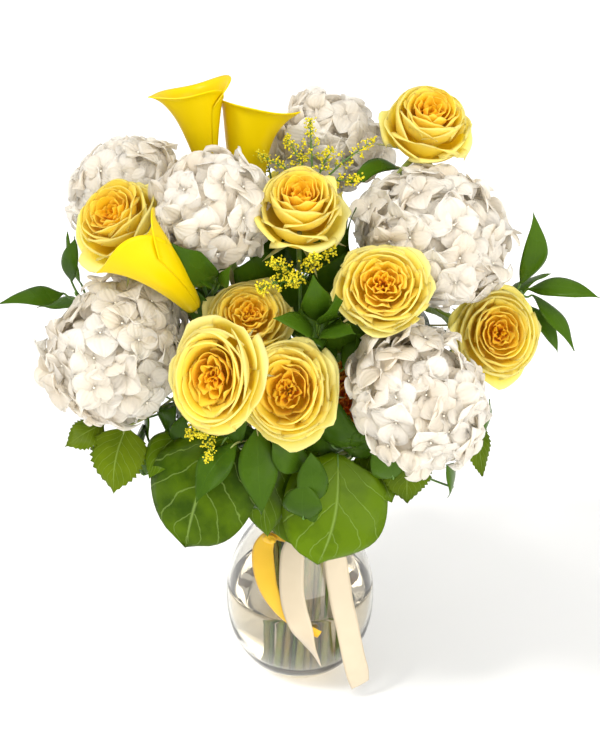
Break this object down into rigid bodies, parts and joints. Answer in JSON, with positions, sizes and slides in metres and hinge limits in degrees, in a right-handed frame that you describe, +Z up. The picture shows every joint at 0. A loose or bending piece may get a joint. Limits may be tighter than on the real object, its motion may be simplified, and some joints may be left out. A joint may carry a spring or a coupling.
{
  "type": "floral table centerpiece",
  "caption": "Round bouquet of yellow garden roses, white hydrangeas, yellow calla lilies and leaves, standing in water in a clear glass bubble vase tied with satin ribbons.",
  "frame": {"origin": "centre of the vase's flat foot, on the table", "axes": "+Z up, -Y towards the front of the bouquet, where the ribbon tails hang, +X to the viewer's right"},
  "size_m": [0.532, 0.4085, 0.5962],
  "materials": {
    "glass": "clear polished soda-lime glass",
    "water": "clear still water",
    "yellow_satin": "woven satin",
    "cream_satin": "woven satin, bare",
    "rose_petal": "soft matt petals, cream-yellow outside and amber in the heart",
    "deep_rose_petal": "soft matt petals, deep orange-yellow",
    "hydrangea_petal": "soft matt white petals",
    "calla_spathe": "smooth waxy bright yellow",
    "goldenrod": "green sprays with small matt yellow flowers",
    "stem": "fresh green stems and toothed leaves",
    "dark_leaf": "dark glossy narrow leaves",
    "broad_leaf": "leathery mid-green broad leaves"
  },
  "bodies": {
    "root": {"vase": "glass", "water": "water", "ribbon_yellow": "yellow_satin", "ribbon_cream": "cream_satin", "rose_top_right": "rose_petal", "rose_top": "rose_petal", "rose_centre": "rose_petal", "rose_right": "rose_petal", "rose_left": "rose_petal", "rose_heart": "rose_petal", "rose_front_left": "rose_petal", "rose_front": "rose_petal", "rose_under": "deep_rose_petal", "rose_back": "rose_petal", "rose_back_left": "rose_petal", "hydrangea_left": "hydrangea_petal", "hydrangea_top_left": "hydrangea_petal", "hydrangea_top": "hydrangea_petal", "hydrangea_crown": "hydrangea_petal", "hydrangea_right": "hydrangea_petal", "hydrangea_front": "hydrangea_petal", "hydrangea_back_left": "hydrangea_petal", "hydrangea_back_right": "hydrangea_petal", "calla_top": "calla_spathe", "calla_middle": "calla_spathe", "calla_left": "calla_spathe", "rose_top_right_stem": "stem", "rose_top_stem": "stem", "rose_centre_stem": "stem", "rose_right_stem": "stem", "rose_left_stem": "stem", "rose_heart_stem": "stem", "rose_front_left_stem": "stem", "rose_front_stem": "stem", "rose_under_stem": "stem", "rose_back_stem": "stem", "rose_back_left_stem": "stem", "hydrangea_left_stem": "stem", "hydrangea_top_left_stem": "stem", "hydrangea_top_stem": "stem", "hydrangea_crown_stem": "stem", "hydrangea_right_stem": "stem", "hydrangea_front_stem": "stem", "hydrangea_back_left_stem": "stem", "hydrangea_back_right_stem": "stem", "calla_top_stem": "stem", "calla_middle_stem": "stem", "calla_left_stem": "stem", "ruscus_left": "dark_leaf", "ruscus_right": "dark_leaf", "ruscus_upper": "dark_leaf", "ruscus_centre": "dark_leaf", "salal_front_left": "broad_leaf", "salal_front_right": "broad_leaf", "salal_back_left": "broad_leaf", "salal_back_right": "broad_leaf", "goldenrod_top": "goldenrod", "goldenrod_centre": "goldenrod", "goldenrod_low": "goldenrod", "goldenrod_back": "goldenrod"}
  },
  "joints": []
}
